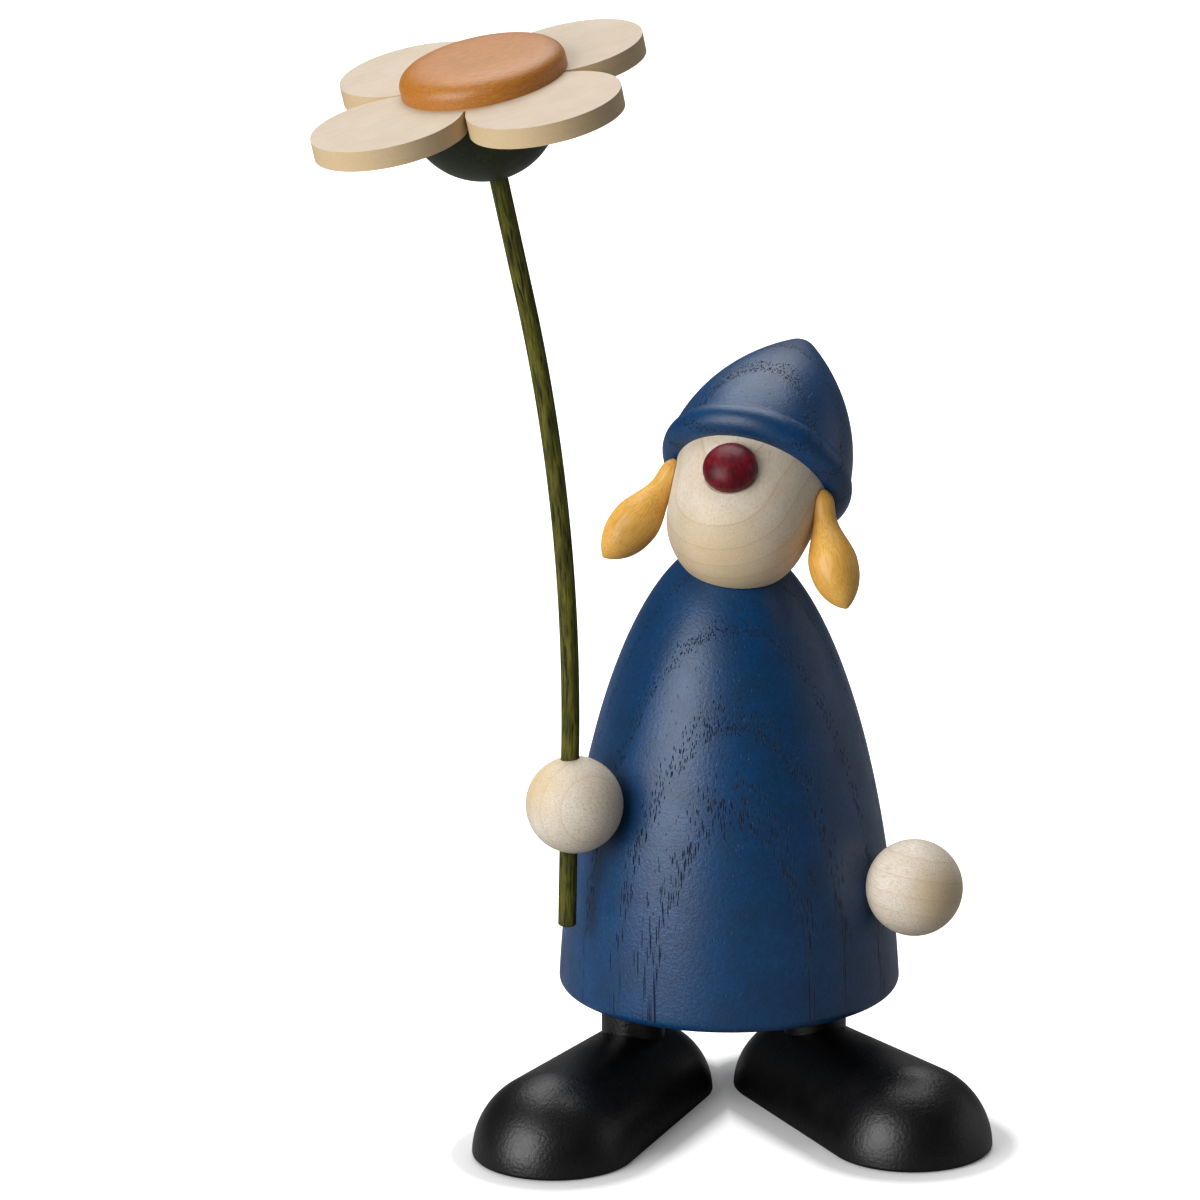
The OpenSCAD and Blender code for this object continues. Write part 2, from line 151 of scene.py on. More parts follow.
for side, heel in HEEL_AT.items():
    bpy.ops.object.select_all(action="DESELECT")
    bpy.ops.mesh.primitive_uv_sphere_add(
        segments=SHOE_SIDES, ring_count=SHOE_SIDES//2, radius=HEEL_R*MM)
    shoe = bpy.context.object
    shoe.name = shoe.data.name = f"shoe_{side}_turned"
    bpy.ops.object.mode_set(mode="EDIT")
    bpy.ops.mesh.primitive_uv_sphere_add(
        segments=SHOE_SIDES, ring_count=SHOE_SIDES//2, radius=TOE_R*MM,
        location=(0, -SHOE_L*MM, 0))
    bpy.ops.mesh.select_all(action="SELECT")
    bpy.ops.mesh.convex_hull()
    bpy.ops.mesh.select_all(action="SELECT")
    bpy.ops.mesh.bisect(plane_co=(0, 0, 0), plane_no=(0, 0, 1), use_fill=True, clear_inner=True)
    ease_edges(shoe, lambda z: z < -FLAT, SOLE_EASE)
    settle(shoe, Matrix.Translation(heel) @ Matrix.Rotation(radians(TOE_OUT[side]), 4, "Z"))
    stand_for(shoe, f"shoe_{side}", "figure", black_paint)


# Legs: 10 mm dowels glued into sockets in the shoes and in the body. Only a short length shows,
# painted black together with the shoes.
for side in ("left", "right"):
    paint(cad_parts[f"leg_{side}"], black_paint)


# Body: a tall dome turned from one block of ash with the grain upright, stained blue and given a
# satin film. The block was sawn beside the pith, so the growth rings cut the dome in nested arches.

DOME_R, DOME_H, DOME_Z = 27.2, 86.0, 4.8
BASE_Z, BASE_ROUND, CROWN_R = 18.9, 1.4, 6.3
DOME_STEPS, BODY_SIDES = 90, 160
ASH_RINGS = [19.5, 24.5, 30.0, 36.0, 42.0, 48.5, 55.2, 61.45, 66.0, 68.55]
RING_REACH, PORE_BAND, BAND_EDGE = 80.0, 1.5, 0.12
RING_WAVE, ASH_WANDER = 14, 0.5
VESSEL, FINE_PORE = (0.22, 0.22, 40), (0.8, 0.8, 2.5)
ASH_GRIT, ASH_CLOUD = 0.5, 6
PORE_DEPTH, GRIT_DEPTH, FINE_SHARE, PORE_DULL = 0.18, 0.06, 0.18, 0.6
BODY_PITH, BODY_GRAIN, BODY_THINNING = (2.55, 45.55, 50), (-0.012, 0.071, 0.997), 1.2


def spread(first, last, steps):
    """Values in equal steps from the first to the last."""
    return [first + (last - first)*i/steps for i in range(steps + 1)]


def spin_outline(name, outline, sides):
    """Extrude a line along an outline of radii and heights and spin it, as on a lathe. It is left
    in edit mode."""
    points = [Vector((r, 0, z))*MM for r, z in outline]
    bpy.ops.object.select_all(action="DESELECT")
    bpy.ops.mesh.primitive_plane_add(size=MM)
    piece = bpy.context.object
    piece.name = piece.data.name = name
    bpy.ops.object.mode_set(mode="EDIT")
    bpy.ops.mesh.select_mode(type="VERT")
    bpy.ops.mesh.select_all(action="SELECT")
    bpy.ops.mesh.merge(type="CENTER")
    bpy.ops.transform.translate(value=points[0])
    for here, there in zip(points, points[1:]):
        bpy.ops.mesh.extrude_vertices_move(TRANSFORM_OT_translate={"value": there - here})
    bpy.ops.mesh.select_all(action="SELECT")
    bpy.ops.mesh.spin(steps=sides, angle=2*pi, center=(0, 0, 0), axis=(0, 0, 1))
    bpy.ops.mesh.select_all(action="SELECT")
    bpy.ops.mesh.remove_doubles(threshold=0.001*MM)
    bpy.ops.mesh.normals_make_consistent(inside=False)
    return piece


def dome_at(phi, out=0.0):
    """A point of the dome's outline at an angle from its middle, moved out square to itself."""
    normal = Vector((cos(phi)/DOME_R, sin(phi)/DOME_H)).normalized()
    return Vector((DOME_R*cos(phi), DOME_Z + DOME_H*sin(phi))) + out*normal


def dome_outline(low, out, steps):
    """The dome's side from a height up to the edge of its crown."""
    first, last = asin((low - DOME_Z)/DOME_H), acos(CROWN_R/DOME_R)
    return [dome_at(phi, out) for phi in spread(first, last, steps)]


def trunk_space(material, pith, grain, wander):
    """Object coordinates and normals, coordinates in millimetres from a point of the pith with Z
    along the trunk, and the distance from the pith. It wanders a little, as in a real tree."""
    place = add_node(material, "ShaderNodeTexCoord")
    trunk = add_node(material, "ShaderNodeMapping", {
        "Vector": (place, "Object"), "Location": Vector(pith)*MM,
        "Rotation": Vector(grain).to_track_quat("Z", "Y").to_euler(),
        "Scale": (MM, MM, MM)}, vector_type="TEXTURE")
    drift = add_node(material, "ShaderNodeTexNoise", {
        "Vector": trunk, "Scale": 1/RING_WAVE, "Detail": 2.0, "Roughness": 0.5})
    centred = add_node(material, "ShaderNodeVectorMath", {
        0: (drift, "Color"), 1: (0.5, 0.5, 0.5)}, operation="SUBTRACT")
    shifted = add_node(material, "ShaderNodeVectorMath", {
        0: centred, 1: (wander, wander, 0), 2: trunk}, operation="MULTIPLY_ADD")
    across = add_node(material, "ShaderNodeVectorMath", {
        0: shifted, 1: (1, 1, 0)}, operation="MULTIPLY")
    age = add_node(material, "ShaderNodeVectorMath", {0: across}, operation="LENGTH")
    return place, trunk, (age, "Value")


def stained_ash(name, pith, grain, rings, thinning):
    """Blue-stained ash. Each ring has a band of open vessels, which the turning cuts to sunk dashes
    along the trunk, dense at one sharp edge. A larger thinning leaves fewer of them away from that
    edge. Between the bands the wood is smooth and cloudy."""
    material, output = new_material(name)
    _, trunk, age = trunk_space(material, pith, grain, ASH_WANDER)
    share = add_node(material, "ShaderNodeMath", {0: age, 1: RING_REACH}, operation="DIVIDE")
    bands = add_node(material, "ShaderNodeValToRGB", {"Fac": share})
    stops = bands.color_ramp.elements
    stops.remove(stops[-1])
    for ring in rings:
        for radius, level in ((ring - PORE_BAND, 0.0), (ring, 1.0), (ring + BAND_EDGE, 0.0)):
            stops.new(radius/RING_REACH).color = (level, level, level, 1)
    crowd = add_node(material, "ShaderNodeMath", {0: bands, 1: thinning}, operation="POWER")
    # Vessels: tubes 0.2 mm wide along the trunk, so the dashes are longer where the side is steeper
    vessels = add_node(material, "ShaderNodeVectorMath", {
        0: trunk, 1: [1/size for size in VESSEL]}, operation="MULTIPLY")
    tube = add_node(material, "ShaderNodeTexVoronoi", {"Vector": vessels, "Scale": 1.0})
    lot = add_node(material, "ShaderNodeSeparateColor", {"Color": (tube, "Color")})
    drawn = add_node(material, "ShaderNodeMath", {
        0: (lot, "Red"), 1: crowd}, operation="LESS_THAN")
    bore = add_node(material, "ShaderNodeMapRange", {
        "Value": (tube, "Distance"), "From Min": 0.42, "From Max": 0.28})
    open_pore = add_node(material, "ShaderNodeMath", {0: drawn, 1: bore}, operation="MULTIPLY")
    # Fine pores are strewn through the rest
    strewn = add_node(material, "ShaderNodeVectorMath", {
        0: trunk, 1: [1/size for size in FINE_PORE]}, operation="MULTIPLY")
    fleck = add_node(material, "ShaderNodeTexVoronoi", {"Vector": strewn, "Scale": 1.0})
    fine_pore = add_node(material, "ShaderNodeMapRange", {
        "Value": (fleck, "Distance"), "From Min": 0.16, "From Max": 0.06})
    sunk = add_node(material, "ShaderNodeMath", {
        0: fine_pore, 1: FINE_SHARE, 2: open_pore}, operation="MULTIPLY_ADD", use_clamp=True)
    # A thin dark line closes each band at its sharp edge
    line = add_node(material, "ShaderNodeMapRange", {
        "Value": bands, "From Min": 0.86, "From Max": 1.0, "To Max": 0.45})
    marked = add_node(material, "ShaderNodeMath", {0: sunk, 1: line}, operation="MAXIMUM")
    # Raised grit under the film, and clouds where the stain took unevenly
    grit = add_node(material, "ShaderNodeTexNoise", {
        "Vector": trunk, "Scale": 1/ASH_GRIT, "Detail": 3.0, "Roughness": 0.65})
    cloud = add_node(material, "ShaderNodeTexNoise", {
        "Vector": trunk, "Scale": 1/ASH_CLOUD, "Detail": 5.0, "Roughness": 0.65})
    speckle = add_node(material, "ShaderNodeMapRange", {
        "Value": grit, "From Min": 0.3, "From Max": 0.7})
    stain = add_node(material, "ShaderNodeMix", {
        "Factor": speckle, "A": linear("#04365d"), "B": linear("#07467b")}, data_type="RGBA")
    patches = add_node(material, "ShaderNodeMapRange", {
        "Value": cloud, "From Min": 0.35, "From Max": 0.7, "To Max": 0.6})
    clouded = add_node(material, "ShaderNodeMix", {
        "Factor": patches, "A": (stain, "Result"), "B": linear("#052b4b")}, data_type="RGBA")
    colour = add_node(material, "ShaderNodeMix", {
        "Factor": marked, "A": (clouded, "Result"), "B": linear("#03172f")}, data_type="RGBA")
    film = add_node(material, "ShaderNodeMapRange", {
        "Value": cloud, "From Min": 0.3, "From Max": 0.7, "To Min": 0.34, "To Max": 0.41})
    # The film is open over a pore, so the pore is dull
    gloss = add_node(material, "ShaderNodeMath", {
        0: sunk, 1: PORE_DULL, 2: film}, operation="MULTIPLY_ADD", use_clamp=True)
    low = add_node(material, "ShaderNodeMath", {0: sunk, 1: -PORE_DEPTH}, operation="MULTIPLY")
    height = add_node(material, "ShaderNodeMath", {
        0: grit, 1: GRIT_DEPTH, 2: low}, operation="MULTIPLY_ADD")
    relief = add_node(material, "ShaderNodeBump", {
        "Height": height, "Strength": 1.0, "Distance": MM})
    close_surface(material, output, {
        "Base Color": (colour, "Result"), "Roughness": gloss, "Normal": relief, "IOR": 1.5})
    return material


body_ash = stained_ash("blue_stained_ash_body", BODY_PITH, BODY_GRAIN, ASH_RINGS, BODY_THINNING)
corner = dome_at(asin((BASE_Z + BASE_ROUND - DOME_Z)/DOME_H))[0] - BASE_ROUND
edge = [(corner + BASE_ROUND*cos(a), BASE_Z + BASE_ROUND + BASE_ROUND*sin(a))
        for a in spread(-pi/2, 0, 8)[:-1]]
flank = dome_outline(BASE_Z + BASE_ROUND, 0, DOME_STEPS)
crown_z = flank[-1][1]
body = spin_outline("body_turned", [(0, BASE_Z)] + edge + flank + [(0, crown_z)], BODY_SIDES)
settle(body, Matrix())
stand_for(body, "body", "figure", body_ash)


# Hands: 15 mm maple balls, each with a small flat that sits on the body and a 4 mm peg behind it.
# The right one is drilled through for the flower's cane.

HAND_D, HAND_FLAT_D, HAND_SEAT_T, HAND_ANGLE = 15.0, 6.0, 0.35, 59.3
HAND_Z = {"left": 37.6, "right": 51.5}
HAND_BARK = {"left": (0.2, 0.1, 0.97), "right": (0.36, -0.92, 0.15)}
HAND_FLECK = {"left": 1.6, "right": 0.6}
HAND_GRAIN = {"left": (0.52, -0.85, -0.05), "right": (-0.79, -0.22, 0.57)}
HAND_CREAM, HAND_RING, HAND_FLECK_DEPTH = ("#ece2d2", "#e4d8c5"), 0.35, 0.6
HAND_ENDS, HAND_STEPS, HAND_SIDES, DRILL_SIDES = (0.6, 1.0), 56, 96, 48
STEM_D, STEM_CLEAR, STEM_OFF, STEM_TILT = 2.8, 0.06, 0.8, 1.4
PITH_AWAY, MAPLE_RING, MAPLE_WANDER = 61.4, 2.8, 0.9
MAPLE_FIBRE, MAPLE_CLOUD, FLECK_SUNK = 0.2, 5, 0.03


def pale_maple(name, middle, bark, grain, cream, ring_depth, fleck_l, fleck_depth, warm_side, warm):
    """Natural maple under a clear matt wax: cream, with thin faint ring lines about the side that
    faced the bark and short fine flecks along the grain. It is warmer where a saw or a chisel cut
    across: between two limits of the normal's share along the warm side's direction."""
    material, output = new_material(name)
    grain = Vector(grain).normalized()
    bark = Vector(bark) - grain*grain.dot(Vector(bark))
    place, trunk, age = trunk_space(
        material, Vector(middle) - PITH_AWAY*bark.normalized(), grain, MAPLE_WANDER)
    count = add_node(material, "ShaderNodeMath", {0: age, 1: MAPLE_RING}, operation="DIVIDE")
    season = add_node(material, "ShaderNodeMath", {0: count}, operation="FRACT")
    ring = add_node(material, "ShaderNodeValToRGB", {"Fac": season})
    stops = ring.color_ramp.elements
    stops.remove(stops[-1])
    for at, level in ((0.6, 0.05), (0.88, 0.3), (0.95, 1.0), (0.985, 0.0)):
        stops.new(at).color = (level, level, level, 1)
    fibres = add_node(material, "ShaderNodeVectorMath", {
        0: trunk, 1: (1/MAPLE_FIBRE, 1/MAPLE_FIBRE, 1/fleck_l)}, operation="MULTIPLY")
    fleck = add_node(material, "ShaderNodeTexNoise", {
        "Vector": fibres, "Scale": 1.0, "Detail": 2.0, "Roughness": 0.55})
    cloud = add_node(material, "ShaderNodeTexNoise", {
        "Vector": trunk, "Scale": 1/MAPLE_CLOUD, "Detail": 3.0})
    patches = add_node(material, "ShaderNodeMapRange", {
        "Value": cloud, "From Min": 0.35, "From Max": 0.65})
    plain = add_node(material, "ShaderNodeMix", {
        "Factor": patches, "A": linear(cream[0]), "B": linear(cream[1])}, data_type="RGBA")
    cut = add_node(material, "ShaderNodeVectorMath", {
        0: (place, "Normal"), 1: Vector(warm_side).normalized()}, operation="DOT_PRODUCT")
    square = add_node(material, "ShaderNodeMath", {0: (cut, "Value")}, operation="ABSOLUTE")
    ends = add_node(material, "ShaderNodeMapRange", {
        "Value": square, "From Min": warm[0], "From Max": warm[1], "To Max": 0.6})
    endgrain = add_node(material, "ShaderNodeMix", {
        "Factor": ends, "A": (plain, "Result"), "B": linear("#d9b981")}, data_type="RGBA")
    faint = add_node(material, "ShaderNodeMath", {0: ring, 1: ring_depth}, operation="MULTIPLY")
    ringed = add_node(material, "ShaderNodeMix", {
        "Factor": faint, "A": (endgrain, "Result"), "B": linear("#c2a67a")}, data_type="RGBA")
    dashes = add_node(material, "ShaderNodeMapRange", {
        "Value": fleck, "From Min": 0.46, "From Max": 0.72, "To Max": fleck_depth})
    colour = add_node(material, "ShaderNodeMix", {
        "Factor": dashes, "A": (ringed, "Result"), "B": linear("#bfa681")}, data_type="RGBA")
    relief = add_node(material, "ShaderNodeBump", {
        "Height": fleck, "Strength": 1.0, "Distance": -FLECK_SUNK*MM})
    gloss = add_node(material, "ShaderNodeMapRange", {
        "Value": fleck, "From Min": 0.3, "From Max": 0.7, "To Min": 0.5, "To Max": 0.6})
    close_surface(material, output, {
        "Base Color": (colour, "Result"), "Roughness": gloss, "Normal": relief, "IOR": 1.45})
    return material


hand_flat = sqrt((HAND_D/2)**2 - (HAND_FLAT_D/2)**2)


def hand_place(side):
    """A hand's own place: its centre, with its axis square to the dome."""
    sign = 1 if side == "left" else -1
    phi = asin((HAND_Z[side] - DOME_Z)/DOME_H)
    normal = Vector((cos(phi)/DOME_R, sin(phi)/DOME_H)).normalized()
    seat = dome_at(phi, hand_flat - HAND_SEAT_T)
    return (Matrix.Rotation(radians(sign*HAND_ANGLE - 90), 4, "Z")
            @ Matrix.Translation(Vector((seat[0], 0, seat[1]))*MM)
            @ Matrix.Rotation(pi/2 - atan2(normal[1], normal[0]), 4, "Y"))


def combine(piece, other, operation):
    """Cut another form out of a piece, or weld it on, and remove that form."""
    tool = piece.modifiers.new("combine", "BOOLEAN")
    tool.operation, tool.solver, tool.object = operation, "EXACT", other
    pick(piece)
    bpy.ops.object.modifier_apply(modifier=tool.name)
    bpy.data.objects.remove(other)


def cut_away(piece, cutter):
    """Cut the cutter's form out of a piece and shade the piece again."""
    combine(piece, cutter, "DIFFERENCE")
    bpy.ops.object.shade_smooth_by_angle(angle=EVEN)


stem_place = (Matrix.Translation(hand_place("right").translation - Vector((STEM_OFF*MM, 0, 0)))
              @ Matrix.Rotation(radians(STEM_TILT), 4, "Y"))
low = -asin(hand_flat/(HAND_D/2))
ball = [(HAND_D/2*cos(a), HAND_D/2*sin(a)) for a in spread(low, pi/2, HAND_STEPS)]
for side in ("left", "right"):
    hand = spin_outline(f"hand_{side}_ball", [(0, -hand_flat)] + ball, HAND_SIDES)
    settle(hand, hand_place(side))
    hand_maple = pale_maple(
        f"pale_maple_{side}_hand", hand_place(side).translation/MM, HAND_BARK[side],
        HAND_GRAIN[side], HAND_CREAM, HAND_RING, HAND_FLECK[side], HAND_FLECK_DEPTH,
        HAND_GRAIN[side], HAND_ENDS)
    if side == "right":
        bpy.ops.mesh.primitive_cylinder_add(
            vertices=DRILL_SIDES, radius=(STEM_D/2 + STEM_CLEAR)*MM, depth=2*HAND_D*MM)
        drill = bpy.context.object
        drill.matrix_world = stem_place
        cut_away(hand, drill)
    stand_for(hand, f"hand_{side}", "figure", hand_maple)
    paint(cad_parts[f"hand_peg_{side}"], hand_maple)


# Head: a maple ball whose sides run straight up to the hat. Underneath it is hollowed to the body's
# crown and bored for the 6 mm neck dowel, so that it can turn with a thin dark gap under the chin.

HEAD_R, HEAD_TOP_R, HEAD_TOP = 11.1, 12.2, 7.0
HEAD_LEFT, HEAD_FRONT, HEAD_RISE, HEAD_LEAN, HEAD_FACING = 1.1, 4.1, 5.9, 49.0, 28.2
CHIN_STEPS, CHEEK_STEPS, HEAD_SIDES = 64, 12, 128
HEAD_CREAM, HEAD_RING, HEAD_FLECK, HEAD_FLECK_DEPTH = ("#e4d8c6", "#dccdb7"), 0.5, 0.7, 0.5
HEAD_ENDS = (0.35, 1.0)
FACE_SPIN, HEAD_GAP, HOLLOW_FROM, HOLLOW_STEPS = 10.7, 0.3, 60, 60
NECK_R, NECK_UP = 3.05, 5.4
NOSE_D, NOSE_L, NOSE_SEAT, NOSE_SUNK, NOSE_T, NOSE_TURN = 8.4, 2.9, 10.4, 1.4, 1.4, -4.0
NOSE_FLAT_SIDES = 64

head_place = (Matrix.Translation(Vector((HEAD_LEFT, -HEAD_FRONT, crown_z + HEAD_RISE))*MM)
              @ Matrix.Rotation(radians(-HEAD_FACING), 4, "Z")
              @ Matrix.Rotation(radians(-HEAD_LEAN), 4, "X"))
face_place = head_place @ Matrix.Rotation(radians(FACE_SPIN), 4, "Z")
nose_place = (face_place @ Matrix.Translation((0, 0, NOSE_T*MM))
              @ Matrix.Rotation(radians(NOSE_TURN), 4, "Z") @ Matrix.Rotation(pi/2, 4, "X")
              @ Matrix.Translation((0, 0, NOSE_SEAT*MM)))
head_axis = head_place.col[2].to_3d()
head_maple = pale_maple(
    "pale_maple_head", head_place.translation/MM, -head_place.col[1].to_3d(), head_axis,
    HEAD_CREAM, HEAD_RING, HEAD_FLECK, HEAD_FLECK_DEPTH, head_axis, HEAD_ENDS)
# The angle at which the straight cheek leaves the ball
touch = atan2(HEAD_TOP, HEAD_TOP_R) - acos(HEAD_R/hypot(HEAD_TOP_R, HEAD_TOP))


def head_outline(out):
    """The head's outline about its axis, moved out by a distance: chin, cheek and seat."""
    ball, top = HEAD_R + out, HEAD_TOP_R + out/cos(touch)
    chin = [(ball*cos(a), ball*sin(a)) for a in spread(-pi/2, touch, CHIN_STEPS)]
    cheek = zip(spread(chin[-1][0], top, CHEEK_STEPS), spread(chin[-1][1], HEAD_TOP, CHEEK_STEPS))
    return chin + list(cheek)[1:] + [(0, HEAD_TOP)]


head = spin_outline("head_ball", head_outline(0), HEAD_SIDES)
settle(head, head_place)
seat_z, neck_top = crown_z + HEAD_GAP, crown_z + NECK_UP
hollow = [(0, HOLLOW_FROM)] + dome_outline(HOLLOW_FROM, HEAD_GAP, HOLLOW_STEPS)
hollow += [(CROWN_R, seat_z), (NECK_R, seat_z), (NECK_R, neck_top), (0, neck_top)]
crown_cut = spin_outline("crown_cut", hollow, HEAD_SIDES)
settle(crown_cut, Matrix())
cut_away(head, crown_cut)
bpy.ops.mesh.primitive_cylinder_add(
    vertices=NOSE_FLAT_SIDES, radius=NOSE_D/2*MM, depth=NOSE_D*MM)
nose_cut = bpy.context.object
nose_cut.matrix_world = nose_place @ Matrix.Translation((0, 0, NOSE_D/2*MM))
cut_away(head, nose_cut)
stand_for(head, "head", "head", head_maple)
paint(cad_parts["neck_dowel"], head_maple)


# Nose: a small turned button, glued by its peg on a flat of the head. It is stained wine red and
# waxed.

NOSE_FIBRE, NOSE_BLOT, NOSE_GRAIN_DEPTH = (0.5, 0.5, 2.2), 2.5, 0.04
NOSE_FIBRE_TURN = (0.4, -0.5, 0.2)  # radians
NOSE_STEPS, NOSE_SIDES = 48, 96

# Wine-red stain on wood: it takes unevenly, so the dark red is mottled along the grain, and the wax
# gives one small soft highlight.
wine, output = new_material("wine_red_stain")
place = add_node(wine, "ShaderNodeTexCoord")
grain = add_node(wine, "ShaderNodeMapping", {
    "Vector": (place, "Object"), "Rotation": NOSE_FIBRE_TURN,
    "Scale": [1/(size*MM) for size in NOSE_FIBRE]})
mottle = add_node(wine, "ShaderNodeTexNoise", {"Vector": grain, "Scale": 1.0, "Detail": 4.0})
blot = add_node(wine, "ShaderNodeTexNoise", {
    "Vector": (place, "Object"), "Scale": 1/(NOSE_BLOT*MM), "Detail": 2.0})
both = add_node(wine, "ShaderNodeMath", {0: mottle, 1: blot}, operation="MULTIPLY")
tone = add_node(wine, "ShaderNodeMapRange", {"Value": both, "From Min": 0.14, "From Max": 0.4})
red = add_node(wine, "ShaderNodeMix", {
    "Factor": tone, "A": linear("#4c0611"), "B": linear("#801527")}, data_type="RGBA")
relief = add_node(wine, "ShaderNodeBump", {
    "Height": mottle, "Strength": 1.0, "Distance": NOSE_GRAIN_DEPTH*MM})
close_surface(wine, output, {
    "Base Color": (red, "Result"), "Roughness": 0.4, "Specular IOR Level": 0.25,
    "Normal": relief, "IOR": 1.5})
button = [(NOSE_D/2*cos(a), NOSE_SUNK + NOSE_L*sin(a))
          for a in spread(-asin(NOSE_SUNK/NOSE_L), pi/2, NOSE_STEPS)]
nose = spin_outline("nose_button", [(0, 0)] + button, NOSE_SIDES)
settle(nose, nose_place)
stand_for(nose, "nose", "head", wine)


# Hat: turned from the same ash as the body and stained with it, with a rolled brim, a crisp groove
# above it and a rounded point. It is glued on the head with a 5 mm dowel.

HAT_R, HAT_H, HAT_TIP_T, BRIM_R, BRIM_STEP, HAT_FULLNESS = 15.2, 29.0, 26.8, 2.7, 0.45, 2.2
GROOVE_T, GROOVE = 4.6, radians(20)
BRIM_ENDS = 0.72  # radians above the level of the roll's middle
BRIM_STEPS, CROWN_STEPS, TIP_STEPS, HAT_SIDES = 30, 70, 20, 144
HAT_PITH, HAT_GRAIN, HAT_THINNING = (-9.2, 52.6, HEAD_TOP), (0.0215, 0.037, 1), 0.6


def hat_radius(t):
    """The crown's radius at a height above the hat's seat."""
    return (HAT_R - BRIM_STEP)*(1 - (t/HAT_H)**HAT_FULLNESS)


hat_ash = stained_ash(
    "blue_stained_ash_hat", head_place @ (Vector(HAT_PITH)*MM)/MM,
    head_place.to_3x3() @ Vector(HAT_GRAIN), ASH_RINGS[:-1], HAT_THINNING)
taper = (HAT_R - BRIM_STEP)*HAT_FULLNESS/HAT_H*(HAT_TIP_T/HAT_H)**(HAT_FULLNESS - 1)
tip_r = hat_radius(HAT_TIP_T)*hypot(1, taper)
tip_z = HAT_TIP_T - hat_radius(HAT_TIP_T)*taper
brim = [(HAT_R - BRIM_R + BRIM_R*cos(a), BRIM_R + BRIM_R*sin(a))
        for a in spread(-pi/2, BRIM_ENDS, BRIM_STEPS)]
crown = [(hat_radius(t), t) for t in spread(GROOVE_T, HAT_TIP_T, CROWN_STEPS)]
tip_from = atan2(HAT_TIP_T - tip_z, hat_radius(HAT_TIP_T))
tip = [(tip_r*cos(a), tip_z + tip_r*sin(a)) for a in spread(tip_from, pi/2, TIP_STEPS)[1:]]
hat = spin_outline("hat_turned", [(0, 0)] + brim + crown + tip, HAT_SIDES)
settle(hat, head_place @ Matrix.Translation((0, 0, HEAD_TOP*MM)), GROOVE)
stand_for(hat, "hat", "head", hat_ash)
paint(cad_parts["hat_dowel"], head_maple)


# Braids: turned drops of pale wood with a slim neck, steamed and bent, stained honey. Their inner
# side is fitted to the head, where each is glued and pegged below the brim.

BRAID_L, BRAID_R, BRAID_NECK_R, BRAID_GLUE = 18.9, 3.8, 1.75, 0.1
BRAID_OUT, BRAID_DROP = 12.0, 0.5
BRAID_ANGLE, BRAID_SPLAY, BRAID_SWING, BRAID_CURL = 76.0, 18.5, 31.0, 18.0
# Shares of a braid's length, and the powers that shape its tip
CAP_AT, CAP_FLAT, SWELL_AT, FULL_AT, TIP_FULL, TIP_BLUNT = 0.12, 0.1, 0.2, 0.61, 2.4, 0.8
BRAID_STEPS, BRAID_CROWDING, BRAID_SIDES = 60, 1.4, 48
HONEY_FIBRE, HONEY_CLOUD, HONEY_GRAIN_DEPTH = (0.22, 0.22, 5.5), 4, 0.02


def braid_radius(u):
    """A braid's radius at a share of its length."""
    if u < CAP_AT:
        return BRAID_NECK_R*sqrt(1 - ((1 - CAP_FLAT)*(1 - u/CAP_AT))**2)
    if u < SWELL_AT:
        return BRAID_NECK_R
    if u < FULL_AT:
        x = (u - SWELL_AT)/(FULL_AT - SWELL_AT)
        return BRAID_NECK_R + (BRAID_R - BRAID_NECK_R)*x*x*(3 - 2*x)
    return BRAID_R*(1 - ((u - FULL_AT)/(1 - FULL_AT))**TIP_FULL)**TIP_BLUNT


def keep_grain(piece, straighten):
    """Keep each point's place in the straight piece, in millimetres, for the grain to follow."""
    straight = piece.data.attributes.new("straight_grain", "FLOAT_VECTOR", "POINT")
    straight.data.foreach_set(
        "vector", [c for v in piece.data.vertices for c in straighten(v.co)])


def bend(piece, angle, first, last):
    """Bend a straight upright piece between two shares of its length."""
    steam = piece.modifiers.new("bend", "SIMPLE_DEFORM")
    steam.deform_method, steam.deform_axis, steam.angle = "BEND", "Y", angle
    steam.limits = (first, last)
    pick(piece)
    bpy.ops.object.modifier_apply(modifier=steam.name)


def unbend(point, radius):
    """Where a point of a bent piece was before the bend."""
    inward = radius - point[0]
    return radius - hypot(inward, point[2]), point[1], radius*atan2(point[2], inward)


# Honey stain on wood: golden, with fine darker streaks that follow the bend and a satin sheen.
honey, output = new_material("honey_stain")
straight = add_node(honey, "ShaderNodeAttribute", attribute_name="straight_grain")
along = add_node(honey, "ShaderNodeVectorMath", {
    0: (straight, "Vector"), 1: [1/size for size in HONEY_FIBRE]}, operation="MULTIPLY")
fibre = add_node(honey, "ShaderNodeTexNoise", {"Vector": along, "Scale": 1.0, "Detail": 3.0})
cloud = add_node(honey, "ShaderNodeTexNoise", {
    "Vector": (straight, "Vector"), "Scale": 1/HONEY_CLOUD, "Detail": 2.0})
streak = add_node(honey, "ShaderNodeMapRange", {
    "Value": fibre, "From Min": 0.44, "From Max": 0.72, "To Max": 0.62})
warm = add_node(honey, "ShaderNodeMapRange", {"Value": cloud, "From Min": 0.35, "From Max": 0.65})
gold = add_node(honey, "ShaderNodeMix", {
    "Factor": warm, "A": linear("#f2bb5c"), "B": linear("#e3a848")}, data_type="RGBA")
colour = add_node(honey, "ShaderNodeMix", {
    "Factor": streak, "A": (gold, "Result"), "B": linear("#bd8838")}, data_type="RGBA")
relief = add_node(honey, "ShaderNodeBump", {
    "Height": fibre, "Strength": 1.0, "Distance": HONEY_GRAIN_DEPTH*MM})
close_surface(honey, output, {
    "Base Color": (colour, "Result"), "Roughness": 0.42, "Normal": relief, "IOR": 1.5})

